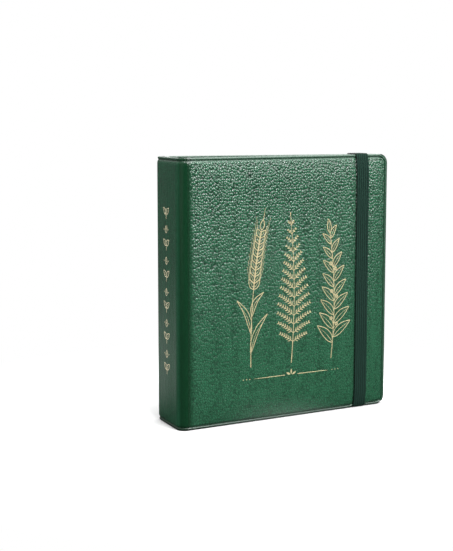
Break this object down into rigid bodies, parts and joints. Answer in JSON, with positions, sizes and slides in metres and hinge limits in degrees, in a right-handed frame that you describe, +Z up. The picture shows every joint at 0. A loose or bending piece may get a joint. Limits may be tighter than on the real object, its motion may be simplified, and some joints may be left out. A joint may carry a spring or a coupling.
{
  "type": "seed storage binder",
  "caption": "Padded three-ring binder with a rounded stitched cover, an elastic closing band and clear pocket pages that hold kraft seed packets.",
  "frame": {"origin": "under the middle of the closed binder, on the surface that it stands on", "axes": "+Z up along the spine, +X from the spine to the fore edge, the front cover faces -Y"},
  "size_m": [0.2862, 0.0726, 0.3115],
  "materials": {
    "leather": "dark green pebbled leatherette with a satin gloss",
    "foam": "soft white padding",
    "board": "grey bookbinder's board",
    "lining": "smooth dark green leatherette",
    "elastic": "dark green woven elastic with fine ribs",
    "film": "clear vinyl film",
    "kraft": "printed kraft paper",
    "ring_metal": "nickel plated steel"
  },
  "bodies": {
    "spine": {"spine_leather": "leather", "spine_foam": "foam", "spine_board": "board", "spine_lining": "lining", "ring_base_plate": "ring_metal", "plate_rivets": "ring_metal", "lever_pins": "ring_metal", "front_shoulder_leather": "leather", "front_shoulder_lining": "lining", "back_shoulder_leather": "leather", "back_shoulder_lining": "lining"},
    "front_cover": {"front_cover_leather": "leather", "front_cover_foam": "foam", "front_cover_board": "board", "front_cover_lining": "lining"},
    "back_cover": {"back_cover_leather": "leather", "back_cover_foam": "foam", "back_cover_board": "board", "back_cover_lining": "lining"},
    "elastic_band": {"elastic_band": "elastic"},
    "front_rings": {"front_ring_blade": "ring_metal", "front_ring_lower": "ring_metal", "front_ring_middle": "ring_metal", "front_ring_upper": "ring_metal"},
    "back_rings": {"back_ring_blade": "ring_metal", "back_ring_lower": "ring_metal", "back_ring_middle": "ring_metal", "back_ring_upper": "ring_metal"},
    "upper_lever": {"upper_lever": "ring_metal"},
    "lower_lever": {"lower_lever": "ring_metal"},
    "page_1": {"pocket_page_1": "film", "seed_packet_1_lower_inner": "kraft", "seed_packet_1_lower_outer": "kraft"},
    "packet_1_upper_inner": {"seed_packet_1_upper_inner": "kraft"},
    "packet_1_upper_outer": {"seed_packet_1_upper_outer": "kraft"},
    "page_2": {"pocket_page_2": "film", "seed_packet_2_lower_inner": "kraft", "seed_packet_2_lower_outer": "kraft"},
    "packet_2_upper_inner": {"seed_packet_2_upper_inner": "kraft"},
    "packet_2_upper_outer": {"seed_packet_2_upper_outer": "kraft"},
    "page_3": {"pocket_page_3": "film", "seed_packet_3_lower_inner": "kraft", "seed_packet_3_lower_outer": "kraft"},
    "packet_3_upper_inner": {"seed_packet_3_upper_inner": "kraft"},
    "packet_3_upper_outer": {"seed_packet_3_upper_outer": "kraft"}
  },
  "joints": [
    {"name": "front_cover_hinge", "type": "hinge", "parent": "spine", "child": "front_cover", "pos_m": [-0.14069, -0.03475, 0.155], "axis": [0, 0, -1], "range_deg": [0, 180], "deforming": ["front_shoulder_leather", "front_shoulder_lining"]},
    {"name": "back_cover_hinge", "type": "hinge", "parent": "spine", "child": "back_cover", "pos_m": [-0.14069, 0.03475, 0.155], "axis": [0, 0, 1], "range_deg": [0, 180], "deforming": ["back_shoulder_leather", "back_shoulder_lining"]},
    {"name": "band_swing", "type": "hinge", "parent": "back_cover", "child": "elastic_band", "pos_m": [0.10424, 0, 0.155], "axis": [0, 0, 1], "range_deg": [0, 167.7], "deforming": ["elastic_band"]},
    {"name": "ring_opening", "type": "hinge", "parent": "spine", "child": "front_rings", "pos_m": [-0.13646, -0.0113, 0.155], "axis": [0, 0, -1], "range_deg": [0, 7]},
    {"name": "back_ring_opening", "type": "hinge", "parent": "spine", "child": "back_rings", "pos_m": [-0.13646, 0.0113, 0.155], "axis": [0, 0, 1], "range_deg": [0, 7]},
    {"name": "upper_lever_turn", "type": "hinge", "parent": "spine", "child": "upper_lever", "pos_m": [-0.13496, 0, 0.275], "axis": [0, -1, 0], "range_deg": [0, 28]},
    {"name": "lower_lever_turn", "type": "hinge", "parent": "spine", "child": "lower_lever", "pos_m": [-0.13496, 0, 0.035], "axis": [0, 1, 0], "range_deg": [0, 28]},
    {"name": "page_1_turn", "type": "hinge", "parent": "spine", "child": "page_1", "pos_m": [-0.11316, 0, 0.155], "axis": [0, 0, -1], "range_deg": [0, 88.3]},
    {"name": "packet_1_upper_inner_lift", "type": "slide", "parent": "page_1", "child": "packet_1_upper_inner", "axis": [0, 0, 1], "range_m": [0, 0.12]},
    {"name": "packet_1_upper_outer_lift", "type": "slide", "parent": "page_1", "child": "packet_1_upper_outer", "axis": [0, 0, 1], "range_m": [0, 0.12]},
    {"name": "page_2_turn", "type": "hinge", "parent": "spine", "child": "page_2", "pos_m": [-0.11316, 0, 0.155], "axis": [0, 0, -1], "range_deg": [0, 50.5]},
    {"name": "packet_2_upper_inner_lift", "type": "slide", "parent": "page_2", "child": "packet_2_upper_inner", "axis": [0, 0, 1], "range_m": [0, 0.12]},
    {"name": "packet_2_upper_outer_lift", "type": "slide", "parent": "page_2", "child": "packet_2_upper_outer", "axis": [0, 0, 1], "range_m": [0, 0.12]},
    {"name": "page_3_turn", "type": "hinge", "parent": "spine", "child": "page_3", "pos_m": [-0.11316, 0, 0.155], "axis": [0, 0, 1], "range_deg": [0, 50.5]},
    {"name": "packet_3_upper_inner_lift", "type": "slide", "parent": "page_3", "child": "packet_3_upper_inner", "axis": [0, 0, 1], "range_m": [0, 0.12]},
    {"name": "packet_3_upper_outer_lift", "type": "slide", "parent": "page_3", "child": "packet_3_upper_outer", "axis": [0, 0, 1], "range_m": [0, 0.12]}
  ],
  "couplings": [
    {"joint": "band_swing", "follows": "front_cover_hinge", "ratio": 0.9311},
    {"joint": "back_ring_opening", "follows": "ring_opening", "ratio": 1},
    {"joint": "upper_lever_turn", "follows": "ring_opening", "ratio": 4},
    {"joint": "lower_lever_turn", "follows": "ring_opening", "ratio": 4},
    {"joint": "page_1_turn", "follows": "front_cover_hinge", "ratio": 0.49},
    {"joint": "page_2_turn", "follows": "front_cover_hinge", "ratio": 0.28},
    {"joint": "page_3_turn", "follows": "back_cover_hinge", "ratio": 0.28}
  ]
}
